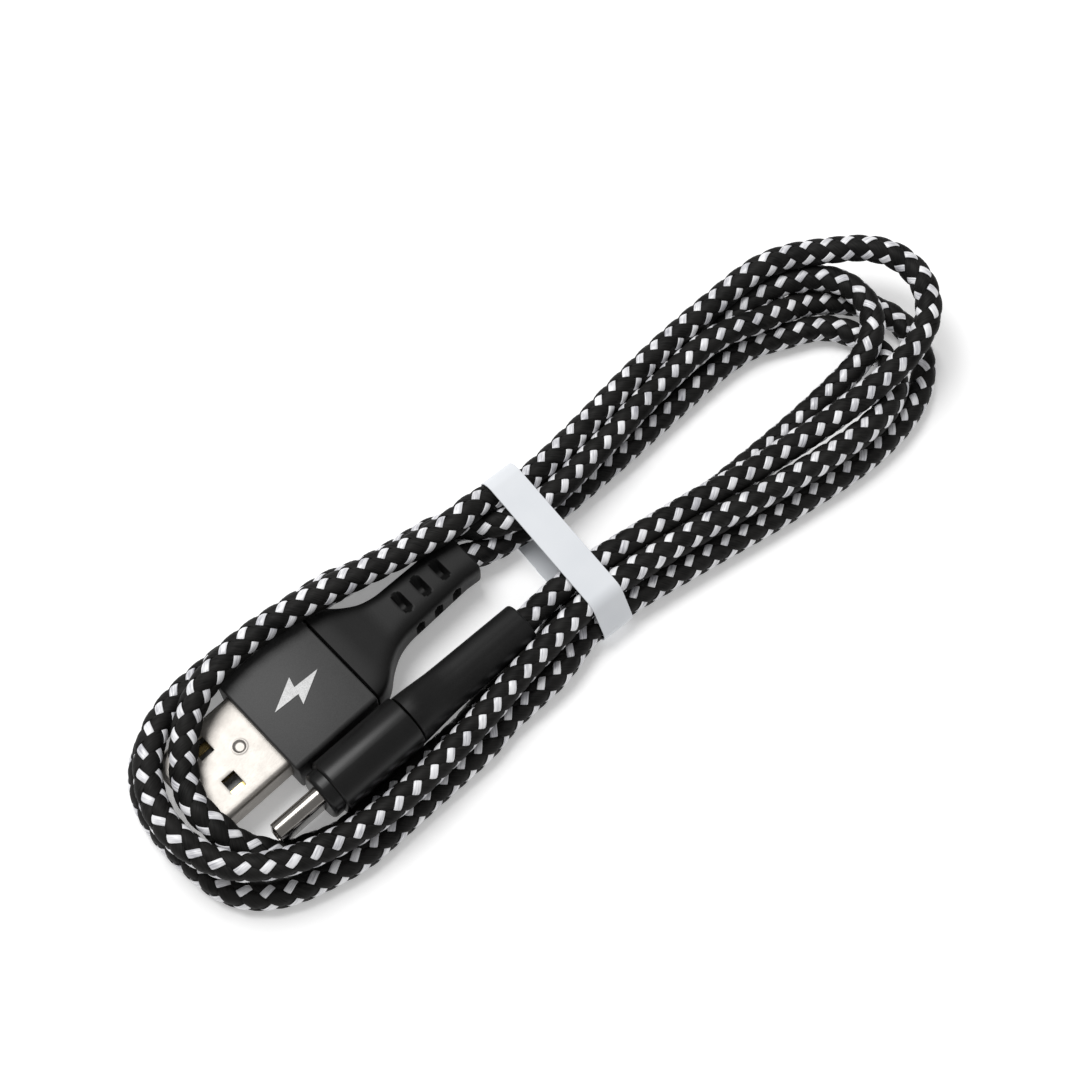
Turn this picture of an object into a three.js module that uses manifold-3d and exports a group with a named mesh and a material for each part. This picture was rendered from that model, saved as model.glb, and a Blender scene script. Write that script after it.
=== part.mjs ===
// Braided USB-A to USB-C charging cable, wound into a flat hank and tied with a paper band.
// Millimetres. +X runs along the hank from the plugs' end to the far loops, +Z is up,
// and the origin is on the table under the middle of the hank.
import * as THREE from "three";
import { mergeVertices } from "three/addons/utils/BufferGeometryUtils.js";
import Module from "manifold-3d";

const wasm = await Module();
wasm.setup();

// ---- driving dimensions ----
const CABLE_D = 3.7; // over the braid
const GAP = 0.3; // clearance between the cable's solids and their neighbours
const FIT = 0.1; // clearance between pieces assembled inside a plug
const SEAT_CLEAR = 2.4; // free space ahead of the USB-A housing's front face

const A = {
  x: -44.8, // front face of the housing
  y: 4.4,
  turn: THREE.MathUtils.degToRad(4.5),
  shell: { width: 12, height: 4.5, reach: 12, tail: 5, wall: 0.3, corner: 0.7 },
  window: { width: 2.4, length: 2, fromFace: 6.35, spacing: 5.9 },
  dimple: { d: 1.3, fromFace: 2.3, depth: 0.12 },
  tongue: { width: 11.1, height: 1.9, reach: 11.4, tail: 3.6 },
  contact: { width: 1, height: 0.25, outer: 3.5, inner: 1, reach: 10.6, tail: 3.6 },
  insert: { from: 3.8, to: 5.6, width: 10.6, height: 3.7 },
  wires: { from: 5.8, to: 10.3, places: [[-2.6, 0], [-0.9, 0], [0.9, 0], [2.6, 0]] },
  sleeve: { width: 15.2, height: 8.1, length: 13, wall: 0.8, corner: 0.6 },
  innerMould: { from: 5.9, roomTo: 10.5, roomWidth: 6.8, roomHeight: 2 },
  boot: { length: 21.2, shoulder: 6.5, neckWidth: 6.2, neckHeight: 5.6, lip: 5.4 },
  slots: { count: 3, first: 9.4, pitch: 3.1, width: 1.1, across: 3.4, fromTop: 1.9, fromSide: 2.1 },
  print: { thickness: 0.06, gap: 0.02 },
};

const C = {
  x: -50.7, // mouth of the shell
  y: -7.4,
  z: 5.7, // height of the plug's axis
  turn: THREE.MathUtils.degToRad(3.4),
  lean: THREE.MathUtils.degToRad(-8.6), // it leans on the lower runs of cable
  shell: { height: 8.25, width: 2.4, reach: 6.65, tail: 4, wall: 0.25 },
  insulator: { height: 6.9, width: 1.7, from: 0.4, to: 6.3, gap: 0.8, gapHeight: 6, gapTo: 5.4 },
  contact: { pitch: 1.1, perRow: 5, thickness: 0.12, height: 0.5, from: 1, length: 4.2, fromAxis: 0.22 },
  latch: { from: 1.2, to: 6, width: 0.5, thickness: 0.18, fromAxis: 3.64 },
  board: { from: 6.7, to: 13.6, thickness: 0.6, height: 6.6 },
  resistor: { from: 9, length: 1, thickness: 0.38, height: 0.6 },
  wires: { from: 13.8, to: 18.2, places: [[0, -2.4], [0, -0.8], [0, 0.8], [0, 2.4]] },
  innerMould: { roomTo: 18.4, roomHeight: 7, roomLeft: 1.2, roomRight: -0.95 },
  housing: { height: 11.4, width: 6.2, length: 13.9, wall: 0.9 },
  boot: { length: 19.3, shoulder: 5.5, neckHeight: 6.2, neckWidth: 5.8, lip: 5.3 },
  drop: 0.9, // how far the boot's end sags below the plug's axis
};

const WIRE_D = 0.9;
const WIRES = [
  ["red", 0xb3261e],
  ["white", 0xdedede],
  ["green", 0x2f8f3e],
  ["black", 0x1b1b1c],
];

const BAND = { x: -1, width: 5, wall: 0.4, clear: 0.6 };
// The band's inside: how far it reaches on each side of the axis, and its heights.
const BAND_BORE = { left: 12.9, right: -12.8, low: 0.45, high: 8.3, corner: 0.8 };

// Centre line of each free length between a plug and the bundle.
const LEAD_A = [
  [-10.1, 7.1, 4.05],
  [-8.6, 7.1, 3.95],
  [-6.8, 6.9, 3.9],
  [-5.1, 6.6, 3.9],
];
const LEAD_C = [
  [-10.3, -5, 5],
  [-8.6, -4.9, 5.1],
  [-6.8, -4.8, 5.3],
  [-5.1, -4.7, 5.4],
];

// Plan outline of the wound bundle, seen from above: outside, then the space inside the loop.
const HANK_OUTSIDE = [
  [-63.4, 1], [-60.5, 10.5], [-54, 15.6], [-42, 17.6], [-27, 16], [-13, 13.3], [-5, 12.5], [3, 12.5],
  [12, 13.4], [26, 15.4], [39, 16.5], [50, 15.4], [58.5, 11], [62.7, 4], [63.1, -3],
  [60.5, -11], [53, -15.6], [42, -16.6], [27, -15.8], [12, -13.6], [3, -12.4], [-5, -12.4],
  [-13, -14], [-27, -16.8], [-41, -17.4], [-52, -15.2], [-60, -9.5],
];
const HANK_INSIDE = [
  [-54.3, 1], [-53, -4.5], [-49.5, -8.7], [-45.5, -11.6], [-34, -11.7], [-24.5, -11.2],
  [-14, -9.4], [-8, -8.3], [-4.8, -7.2], [-4.8, -2.8], [2, -2.8], [13, -4], [26, -3.7],
  [38, -3.2], [46, -2.4], [50.5, -0.6], [51.6, 1.6], [49.5, 3.6], [45, 4.6], [37, 5.6],
  [25, 5.1], [12, 3.5], [2, 3.1], [-4.8, 3.1], [-4.8, 9.1], [-15, 11.1], [-27, 12.9],
  [-42, 13.4], [-50, 9.6],
];
// Height of the bundle's top along X.
const HANK_TOP = [
  [-64, 10.1], [-50, 10.1], [-42, 10.6], [-30, 10], [-14, 8.4], [-5, 7.9],
  [3, 7.9], [30, 7.8], [44, 9.2], [54, 10.8], [64, 11.3],
];
const WAIST = { low: 0.75, high: 7.95 }; // the bundle's heights inside the band

// ---- helpers ----
function toSolid(geometry) {
  const bare = geometry.index ? geometry.toNonIndexed() : geometry.clone();
  bare.deleteAttribute("normal");
  bare.deleteAttribute("uv");
  const merged = mergeVertices(bare, 1e-4);
  return new wasm.Manifold(
    new wasm.Mesh({
      numProp: 3,
      vertProperties: merged.attributes.position.array,
      triVerts: new Uint32Array(merged.index.array),
    }),
  );
}

function toGeometry(solid) {
  const mesh = solid.getMesh();
  const geometry = new THREE.BufferGeometry();
  geometry.setAttribute("position", new THREE.BufferAttribute(mesh.vertProperties, 3));
  geometry.setIndex(new THREE.BufferAttribute(mesh.triVerts, 1));
  geometry.computeVertexNormals();
  return geometry;
}

// first minus every other geometry
function cut(first, ...others) {
  const rest = others.map(toSolid);
  return toGeometry(rest.reduce((solid, tool) => solid.subtract(tool), toSolid(first)));
}

function interpolate(table, x) {
  const last = table.length - 1;
  if (x <= table[0][0]) return table[0][1];
  if (x >= table[last][0]) return table[last][1];
  const i = table.findIndex((row) => row[0] > x);
  const [x0, v0] = table[i - 1];
  const [x1, v1] = table[i];
  return v0 + ((v1 - v0) * (x - x0)) / (x1 - x0);
}

function roundedRect(width, height, radius) {
  const w = width / 2;
  const h = height / 2;
  const shape = new THREE.Shape();
  shape.moveTo(-w + radius, -h);
  shape.lineTo(w - radius, -h);
  shape.absarc(w - radius, -h + radius, radius, -Math.PI / 2, 0);
  shape.lineTo(w, h - radius);
  shape.absarc(w - radius, h - radius, radius, 0, Math.PI / 2);
  shape.lineTo(-w + radius, h);
  shape.absarc(-w + radius, h - radius, radius, Math.PI / 2, Math.PI);
  shape.lineTo(-w, -h + radius);
  shape.absarc(-w + radius, -h + radius, radius, Math.PI, 1.5 * Math.PI);
  return shape;
}

// A section drawn in Y and Z, run along X from one place to another.
function alongX(shape, from, to, steps = 1, curveSegments = 4) {
  const geometry = new THREE.ExtrudeGeometry(shape, {
    depth: to - from,
    steps,
    curveSegments,
    bevelEnabled: false,
  });
  const turn = new THREE.Matrix4().set(0, 0, 1, from, 1, 0, 0, 0, 0, 1, 0, 0, 0, 0, 0, 1);
  return geometry.applyMatrix4(turn);
}

function block(x0, x1, y0, y1, z0, z1) {
  const geometry = new THREE.BoxGeometry(x1 - x0, y1 - y0, z1 - z0);
  return geometry.translate((x0 + x1) / 2, (y0 + y1) / 2, (z0 + z1) / 2);
}

// A block from x0 to x1 with a width along Y and a height along Z, centred on (y, z).
function bar(x0, x1, width, height, y = 0, z = 0) {
  return block(x0, x1, y - width / 2, y + width / 2, z - height / 2, z + height / 2);
}

// Widths and heights of a section scaled along X by two tables.
function shapeAlongX(geometry, widths, heights, drops = [[0, 0]]) {
  const p = geometry.attributes.position;
  for (let i = 0; i < p.count; i++) {
    const x = p.getX(i);
    p.setY(i, p.getY(i) * interpolate(widths, x));
    p.setZ(i, p.getZ(i) * interpolate(heights, x) - interpolate(drops, x));
  }
  return geometry;
}

function named(name, geometry, color, roughness, metalness) {
  const material = new THREE.MeshStandardMaterial({ color, roughness, metalness });
  const mesh = new THREE.Mesh(geometry, material);
  mesh.name = name;
  return mesh;
}

const steel = (name, geometry) => named(name, geometry, 0xd9d4cc, 0.28, 1);
const gold = (name, geometry) => named(name, geometry, 0xc9a24a, 0.3, 1);
const blackPlastic = (name, geometry) => named(name, geometry, 0x161718, 0.55, 0);
const softBlack = (name, geometry) => named(name, geometry, 0x232426, 0.62, 0);
const whitePlastic = (name, geometry) => named(name, geometry, 0xe9e9e6, 0.5, 0);

// ---- USB-A plug: its own axes have X from the housing's face to the cable, Z = 0 on the axis ----
function usbAShell() {
  const { width, height, reach, tail, wall, corner } = A.shell;
  const outline = roundedRect(width, height, corner);
  outline.holes.push(roundedRect(width - 2 * wall, height - 2 * wall, corner - wall));
  const { width: w, length, fromFace, spacing } = A.window;
  const windows = [-1, 1].map((side) => {
    const from = -fromFace - length / 2;
    return bar(from, from + length, w, 2 * height, (side * spacing) / 2);
  });
  const { d, fromFace: dimpleFromFace, depth } = A.dimple;
  const dimple = new THREE.CylinderGeometry(d / 2, d / 2, 2 * depth, 16);
  dimple.rotateX(Math.PI / 2);
  dimple.translate(-dimpleFromFace, 0, height / 2);
  return steel("usb_a_shell", cut(alongX(outline, -reach, tail), ...windows, dimple));
}

function usbAInside() {
  const { tongue, contact, insert } = A;
  const floor = -A.shell.height / 2 + A.shell.wall + FIT;
  const middle = floor + tongue.height / 2;
  const slab = bar(-tongue.reach, tongue.tail, tongue.width, tongue.height, 0, middle);
  const pieces = [whitePlastic("usb_a_tongue", slab)];
  const z = floor + tongue.height + FIT / 2 + contact.height / 2;
  [-contact.outer, -contact.inner, contact.inner, contact.outer].forEach((y, i) => {
    const strip = bar(-contact.reach, contact.tail, contact.width, contact.height, y, z);
    pieces.push(gold(`usb_a_contact_${i + 1}`, strip));
  });
  const plate = bar(insert.from, insert.to, insert.width, insert.height);
  pieces.push(whitePlastic("usb_a_insert", plate));
  return pieces;
}

function wireTails(prefix, { from, to, places }) {
  return WIRES.map(([colour, hex], i) => {
    const wire = new THREE.CylinderGeometry(WIRE_D / 2, WIRE_D / 2, to - from, 10);
    wire.rotateZ(Math.PI / 2);
    wire.translate((from + to) / 2, ...places[i]);
    return named(`${prefix}_wire_${colour}`, wire, hex, 0.5, 0);
  });
}

function usbASleeve() {
  const { width, height, length, wall, corner } = A.sleeve;
  const outer = alongX(roundedRect(width, height, corner), 0, length);
  const cavity = alongX(roundedRect(width - 2 * wall, height - 2 * wall, corner), wall, length + 1);
  const mouth = bar(-1, wall + 1, A.shell.width + GAP, A.shell.height + GAP);
  return named("usb_a_sleeve", cut(outer, cavity, mouth), 0x4b4c4e, 0.42, 0.8);
}

function usbAInnerMould() {
  const { width, height, length, wall, corner } = A.sleeve;
  const { from, roomTo, roomWidth, roomHeight } = A.innerMould;
  const w = width - 2 * wall - 2 * FIT;
  const h = height - 2 * wall - 2 * FIT;
  const body = alongX(roundedRect(w, h, corner), from, length - FIT);
  const room = bar(from - 1, roomTo, roomWidth, roomHeight);
  return blackPlastic("usb_a_inner_mould", cut(body, room));
}

// A moulded boot: a shoulder that flares down to a slotted neck.
function boot(spec, from, startWidth, startHeight, slotBoxes) {
  const end = from + spec.length;
  const neck = from + spec.shoulder;
  const across = [
    [from, startWidth], [from + 2.2, startWidth], [from + 4.4, startWidth * 0.8],
    [neck, spec.neckWidth * 1.12], [neck + 2, spec.neckWidth], [end, spec.lip],
  ];
  const tall = [
    [from, startHeight], [from + 1.5, startHeight], [neck, spec.neckHeight], [end, spec.lip],
  ];
  const drops = [[neck, 0], [end, spec.drop ?? 0]];
  const unit = roundedRect(1, 1, 0.3);
  const body = alongX(unit, from, end, 22, 3);
  shapeAlongX(body, across, tall, drops);
  return slotBoxes.length ? cut(body, ...slotBoxes) : body;
}

function usbABoot() {
  const from = A.sleeve.length + GAP;
  const { count, first, pitch, width, across, fromTop, fromSide } = A.slots;
  const half = across / 2;
  const outside = A.boot.neckWidth;
  const slots = Array.from({ length: count }, (_, i) => from + first + i * pitch).flatMap((x) => {
    const [x0, x1] = [x - width / 2, x + width / 2];
    return [
      block(x0, x1, -half, half, fromTop, outside),
      block(x0, x1, -half, half, -outside, -fromTop),
      block(x0, x1, fromSide, outside, -half, half),
      block(x0, x1, -outside, -fromSide, -half, half),
    ];
  });
  const start = [A.sleeve.width - 0.4, A.sleeve.height - 0.4];
  return softBlack("usb_a_boot", boot(A.boot, from, ...start, slots));
}

// A plain charging bolt printed on the housing.
function usbAMark() {
  const bolt = new THREE.Shape();
  const outline = [[-3.7, -0.3], [0.5, 1.9], [0.1, 0.5], [3.7, 0.3], [-0.5, -1.9], [-0.1, -0.5]];
  outline.forEach(([x, y], i) => (i ? bolt.lineTo(x, y) : bolt.moveTo(x, y)));
  const { thickness, gap } = A.print;
  const print = new THREE.ExtrudeGeometry(bolt, { depth: thickness, bevelEnabled: false });
  print.translate(A.sleeve.length / 2, 0, A.sleeve.height / 2 + gap);
  return named("usb_a_mark", print, 0xd8d8d8, 0.5, 0);
}

function usbAPlug() {
  const plug = new THREE.Group();
  plug.position.set(A.x, A.y, A.sleeve.height / 2);
  plug.rotation.z = A.turn;
  const tails = wireTails("usb_a", A.wires);
  plug.add(usbAShell(), ...usbAInside(), ...tails, usbASleeve(), usbAInnerMould());
  plug.add(usbABoot(), usbAMark());
  return plug;
}

// ---- USB-C plug: X from the mouth to the cable, Z along the wide side of the shell ----
function racetrack(height, width) {
  return roundedRect(width, height, width / 2 - 0.01);
}

function usbCShell() {
  const { height, width, reach, tail, wall } = C.shell;
  const outline = racetrack(height, width);
  outline.holes.push(racetrack(height - 2 * wall, width - 2 * wall));
  return steel("usb_c_shell", alongX(outline, 0, reach + tail, 1, 8));
}

function usbCInsulator() {
  const { height, width, from, to, gap, gapHeight, gapTo } = C.insulator;
  const outer = alongX(racetrack(height, width), from, to, 1, 5);
  return blackPlastic("usb_c_insulator", cut(outer, bar(-1, gapTo, gap, gapHeight)));
}

function usbCContacts() {
  const { perRow, pitch, from, length, thickness, height, fromAxis } = C.contact;
  const rows = [["a", fromAxis], ["b", -fromAxis]];
  return rows.flatMap(([row, y]) =>
    Array.from({ length: perRow }, (_, i) => {
      const z = (i - (perRow - 1) / 2) * pitch;
      const strip = bar(from, from + length, thickness, height, y, z);
      return gold(`usb_c_contact_${row}${i + 1}`, strip);
    }),
  );
}

function usbCLatches() {
  const { from, to, width, thickness, fromAxis } = C.latch;
  return [["upper", fromAxis], ["lower", -fromAxis]].map(([name, z]) =>
    steel(`usb_c_latch_${name}`, bar(from, to, width, thickness, 0, z)),
  );
}

function usbCBoard() {
  const { board, resistor } = C;
  const plate = bar(board.from, board.to, board.thickness, board.height);
  const y = board.thickness / 2 + FIT + resistor.thickness / 2;
  const { from, length, thickness, height } = resistor;
  return [
    named("usb_c_pcb", plate, 0x1d5a34, 0.5, 0),
    blackPlastic("usb_c_resistor", bar(from, from + length, thickness, height, y)),
  ];
}

function usbCHousing() {
  const { height, width, length, wall } = C.housing;
  const front = C.shell.reach;
  const end = front + length;
  const outer = alongX(racetrack(height, width), front, end, 1, 8);
  const cavity = alongX(racetrack(height - 2 * wall, width - 2 * wall), front + wall, end + 1, 1, 8);
  const mouth = alongX(racetrack(C.shell.height + GAP, C.shell.width + GAP), 0, end, 1, 8);
  return blackPlastic("usb_c_housing", cut(outer, cavity, mouth));
}

function usbCInnerMould() {
  const { height, width, length, wall } = C.housing;
  const w = width - 2 * wall - 2 * FIT;
  const h = height - 2 * wall - 2 * FIT;
  const { roomTo, roomHeight, roomLeft, roomRight } = C.innerMould;
  const from = C.shell.reach + C.shell.tail + 2 * FIT;
  const to = C.shell.reach + length - FIT;
  const body = alongX(racetrack(h, w), from, to, 1, 6);
  const room = block(from - 1, roomTo, roomRight, roomLeft, -roomHeight / 2, roomHeight / 2);
  return blackPlastic("usb_c_inner_mould", cut(body, room));
}

function usbCBoot() {
  const from = C.shell.reach + C.housing.length + GAP;
  const spec = { ...C.boot, drop: C.drop };
  const start = [C.housing.width - 0.3, C.housing.height - 0.5];
  return softBlack("usb_c_boot", boot(spec, from, ...start, []));
}

function usbCPlug() {
  const plug = new THREE.Group();
  plug.position.set(C.x, C.y, C.z);
  plug.rotation.set(-C.lean, 0, C.turn);
  plug.add(usbCShell(), usbCInsulator(), ...usbCContacts(), ...usbCLatches(), ...usbCBoard());
  plug.add(...wireTails("usb_c", C.wires), usbCHousing(), usbCInnerMould(), usbCBoot());
  return plug;
}

// ---- cable ----
function cableLead(name, points) {
  const path = new THREE.CatmullRomCurve3(points.map((p) => new THREE.Vector3(...p)));
  const section = new THREE.Shape();
  section.absarc(0, 0, CABLE_D / 2, 0, 2 * Math.PI);
  const tube = new THREE.ExtrudeGeometry(section, { extrudePath: path, steps: 3, curveSegments: 4 });
  return named(name, tube, 0x1d1e20, 0.8, 0);
}

function smoothOutline(points, divisions) {
  const corners = points.map(([x, y]) => new THREE.Vector3(x, y, 0));
  const curve = new THREE.CatmullRomCurve3(corners, true, "centripetal");
  return curve.getPoints(divisions).slice(0, -1).map((p) => new THREE.Vector2(p.x, p.y));
}

// Room that the hank keeps clear for one plug, in that plug's own axes.
function plugRoom(plug, ...blocks) {
  plug.updateMatrixWorld(true);
  return blocks.map((room) => room.applyMatrix4(plug.matrixWorld));
}

function hankRing() {
  const outline = new THREE.Shape(smoothOutline(HANK_OUTSIDE, 75));
  outline.holes.push(new THREE.Path(HANK_INSIDE.map(([x, y]) => new THREE.Vector2(x, y))));
  const ring = new THREE.ExtrudeGeometry(outline, { depth: 1, steps: 1, bevelEnabled: false });
  const p = ring.attributes.position;
  for (let i = 0; i < p.count; i++) p.setZ(i, p.getZ(i) * interpolate(HANK_TOP, p.getX(i)));
  return ring;
}

function roomForBand() {
  const [x0, x1] = [-1, 1].map((side) => BAND.x + side * (BAND.width / 2 + BAND.clear));
  return [block(x0, x1, -20, 20, -1, WAIST.low), block(x0, x1, -20, 20, WAIST.high, 20)];
}

function roomForPlugA(plug) {
  const { shell, sleeve } = A;
  return plugRoom(
    plug,
    bar(-shell.reach - GAP, 1, shell.width + 2 * GAP, shell.height + 2 * GAP),
    bar(-SEAT_CLEAR, sleeve.length + A.boot.shoulder, sleeve.width + 2 * GAP, sleeve.height + 2 * GAP),
  );
}

function roomForPlugC(plug) {
  const { housing, boot: rear } = C;
  const neck = C.shell.reach + housing.length + rear.shoulder - GAP;
  return plugRoom(
    plug,
    bar(-GAP, neck, housing.width + 2 * GAP, housing.height + 2 * GAP),
    bar(neck, neck + rear.length, housing.width + 2 * GAP, rear.neckHeight + 2 * C.drop + GAP),
  );
}

function cableHank(plugA, plugC) {
  const rooms = [...roomForBand(), ...roomForPlugA(plugA), ...roomForPlugC(plugC)];
  return named("cable_hank", cut(hankRing(), ...rooms), 0x1d1e20, 0.8, 0);
}

function tieBand() {
  const { left, right, low, high, corner } = BAND_BORE;
  const { wall, width, x } = BAND;
  const loop = roundedRect(left - right + 2 * wall, high - low + 2 * wall, corner + wall);
  loop.holes.push(roundedRect(left - right, high - low, corner));
  const band = alongX(loop, x - width / 2, x + width / 2, 1, 5);
  band.translate(0, (left + right) / 2, (low + high) / 2);
  return named("tie_band", band, 0xe6e9ee, 0.55, 0);
}

const part = new THREE.Group();
const plugA = usbAPlug();
const plugC = usbCPlug();
part.add(plugA, plugC, tieBand(), cableHank(plugA, plugC));
part.add(cableLead("cable_lead_usb_a", LEAD_A), cableLead("cable_lead_usb_c", LEAD_C));

export default part;
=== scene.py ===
import math

import bpy
import numpy as np
from mathutils import Euler, Matrix, Vector


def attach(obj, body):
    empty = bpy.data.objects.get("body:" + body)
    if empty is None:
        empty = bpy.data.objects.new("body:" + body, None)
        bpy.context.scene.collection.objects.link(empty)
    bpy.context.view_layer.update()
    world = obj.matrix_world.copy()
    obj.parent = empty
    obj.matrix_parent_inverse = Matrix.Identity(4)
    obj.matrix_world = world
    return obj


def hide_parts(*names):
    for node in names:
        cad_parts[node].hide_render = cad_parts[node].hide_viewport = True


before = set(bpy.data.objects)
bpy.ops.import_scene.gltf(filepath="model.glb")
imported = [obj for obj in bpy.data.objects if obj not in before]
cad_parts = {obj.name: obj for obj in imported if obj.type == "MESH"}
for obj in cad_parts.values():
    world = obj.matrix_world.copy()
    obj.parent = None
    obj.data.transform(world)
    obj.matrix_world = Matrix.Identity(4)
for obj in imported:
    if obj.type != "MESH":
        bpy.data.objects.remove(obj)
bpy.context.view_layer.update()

# A braided USB-A to USB-C charging cable, wound into a flat hank and tied with a white paper band.
# Sizes below are in millimetres unless a name says otherwise; MM turns them into metres.
MM = 0.001

# ---------------------------------------------------------------- sizes
CABLE_D = 3.7
CABLE_R = CABLE_D / 2
LAY = 11.4  # one turn of a yarn round the cable
YARNS = 4  # of each colour, the white ones winding against the black ones
CORE_R = 1.32  # of the jacket inside the braid
CORE_SPACING = 0.8

BAND_X = -0.9
BAND_WIDTH = 4.7
BAND_PAPER = 0.22

# Each plug has its own axes: X runs from its front towards the cable. It is 0 at the front face of
# the USB-A sleeve, and at the tip of the USB-C shell. The USB-C plug stands on its narrow side.
PLUG_A = {"place": (-44.8, 4.4, 4.05), "turn": (0.0, 0.0, 4.5)}
PLUG_C = {"place": (-50.7, -7.4, 5.7), "turn": (8.6, 0.0, 3.4)}

# A shell's reach is how far it stands out of the housing, and its tail how far it goes on inside.
A_SHELL = {"width": 12.0, "height": 4.5, "reach": 12.0, "tail": 5.0, "wall": 0.3, "corner": 0.7, "lead": 0.5}
A_WINDOW = {"width": 2.4, "length": 2.0, "centre": -6.35, "spacing": 5.9}
A_DIMPLE = {"centre": -2.9, "radius": 0.8, "depth": 0.16, "slope": 0.22, "rim": 0.05}
A_SLEEVE = {"width": 15.2, "height": 8.1, "length": 13.0, "corner": 0.6}
A_BOOT = {"start": 13.3, "length": 21.2, "shoulder": 6.5, "width": 6.8, "height": 5.9, "lip": 6.3}
A_SLOTS = {"count": 3, "first": 10.6, "pitch": 3.2, "length": 1.2, "across": 2.9, "depth": 1.9}

C_SHELL = {"height": 8.25, "width": 2.4, "reach": 6.65, "tail": 4.0, "wall": 0.25}
C_HOUSING = {"height": 11.4, "width": 7.0, "length": 13.9,
             "nose": 1.7, "nose_height": 10.4, "nose_width": 5.8}
C_BOOT = {"gap": 0.3, "length": 19.3, "shoulder": 5.5, "height": 6.2, "width": 6.0, "lip": 5.6, "drop": 0.9,
          "seam": 0.07, "seam_width": 0.16}
BOOT_EDGE = 0.3  # how far a boot's end is rounded off
BOOT_HOLE = 3.9  # where the cable goes in


# ---------------------------------------------------------------- camera
def make_camera():
    data = bpy.data.cameras.new("camera")
    data.sensor_width = 36.0
    data.lens = 58.94
    camera = bpy.data.objects.new("camera", data)
    camera.location = Vector((-62.1, -62.4, 215.0)) * MM
    camera.rotation_euler = Euler([math.radians(a) for a in (22.86, -1.39, -39.75)])
    bpy.context.scene.collection.objects.link(camera)
    bpy.context.scene.camera = camera


make_camera()

# ---------------------------------------------------------------- the cable's route
# Points along the middle of the cable, from the USB-A boot to the USB-C boot. It runs round the far end
# of the hank four times and round the near end three times, and passes the waist in eight places.
ROUTE = [
    # out of the USB-A boot
    (-12.2, 7.0, 4.1), (-9.4, 7.1, 4.0), (-5.5, 6.6, 3.3),
    # first far loop, the innermost, on the table and then up over the others
    (-1, 5.6, 2.7), (11, 5.9, 2.3), (25, 7, 1.9), (38, 7.6, 1.9), (46, 5.8, 1.9), (51, 2.6, 1.9),
    (53.8, -1.6, 1.9), (53.4, -6.8, 2.6), (49.9, -11, 4.6), (43.2, -12.8, 5.5), (30, -12, 5.5),
    (15, -9.6, 5.8),
    # near loop over the tip of the USB-A plug
    (-1, -8.4, 6), (-12, -9.6, 5.9), (-25, -12, 5.6), (-38, -13.3, 5.8), (-47, -12.4, 6.4),
    (-54.3, -9.5, 7.4), (-59, -4.3, 8.2), (-60.2, 1.6, 8.3), (-58.3, 7.8, 8.2), (-53, 12.7, 7.2),
    (-43, 14.7, 5.7), (-32, 14.3, 5.5), (-18, 12.6, 5.6), (-10.5, 11.4, 6),
    # second far loop
    (-1, 6.2, 6.1), (11, 7.2, 5.8), (24, 9.6, 5.5), (36, 10.2, 5.2), (46, 8.8, 4.2), (52.6, 5.8, 2.6),
    (57.5, 1.6, 1.9), (59.2, -4, 1.9), (57, -9.8, 1.9), (51, -13.5, 1.9), (42, -15, 1.9),
    (28, -14, 1.9), (12, -11.8, 2.3),
    # near loop on the table
    (-1, -10.4, 2.7), (-12, -11.4, 2.2), (-26, -13, 1.9), (-40, -13.9, 1.9), (-51.4, -13.6, 1.9),
    (-58.4, -9.2, 1.9), (-60.2, -2.6, 1.9), (-60.8, 3.4, 1.9), (-59.2, 9.9, 1.9), (-52.8, 14.3, 1.9),
    (-41, 15.7, 1.9), (-28, 15.1, 1.9), (-14, 13, 2.1),
    # third far loop
    (-1, 9, 2.7), (12, 9.2, 2.3), (26, 10.6, 2), (38, 11.4, 3.2), (46, 11, 5.2), (52.5, 8.9, 6),
    (56.4, 5.1, 5.9), (57, 0.3, 5.7), (54, -3.4, 5.2), (46.5, -4.8, 3.6), (37, -5.4, 2.1),
    (25, -5.8, 1.9), (12, -6.2, 2.2),
    # near loop over the USB-A plug and along the edge of its housing
    (-1, -6.6, 2.7), (-12, -7.7, 2.3), (-25, -9.5, 2), (-38, -11.2, 2.1), (-47, -10.7, 3),
    (-53, -8.8, 5), (-56.3, -4.7, 7), (-56.7, 0.4, 8.3), (-54.4, 5.8, 8.3), (-49.5, 10.8, 9.2),
    (-42, 13.2, 9.7), (-32, 13, 9.5), (-16, 10.8, 8.5),
    # last far loop, the outermost, which crosses down over the others
    (-1, 9.5, 6.1), (12, 10.7, 5.8), (26, 12.7, 5.6), (38, 14.1, 5.8), (47.8, 12.6, 7.2),
    (55.8, 9.2, 8.5), (61.1, 4.2, 9.5), (62.3, -1.8, 9.7), (58.6, -6.8, 9.4), (52, -9.2, 8.6),
    (44, -9.4, 7.2), (30, -8.2, 5.7), (14, -6.2, 5.7),
    # into the USB-C boot
    (-1, -4.6, 6), (-6, -4.6, 5.4), (-9.6, -4.9, 5), (-12.5, -5.1, 4.9),
]


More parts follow.
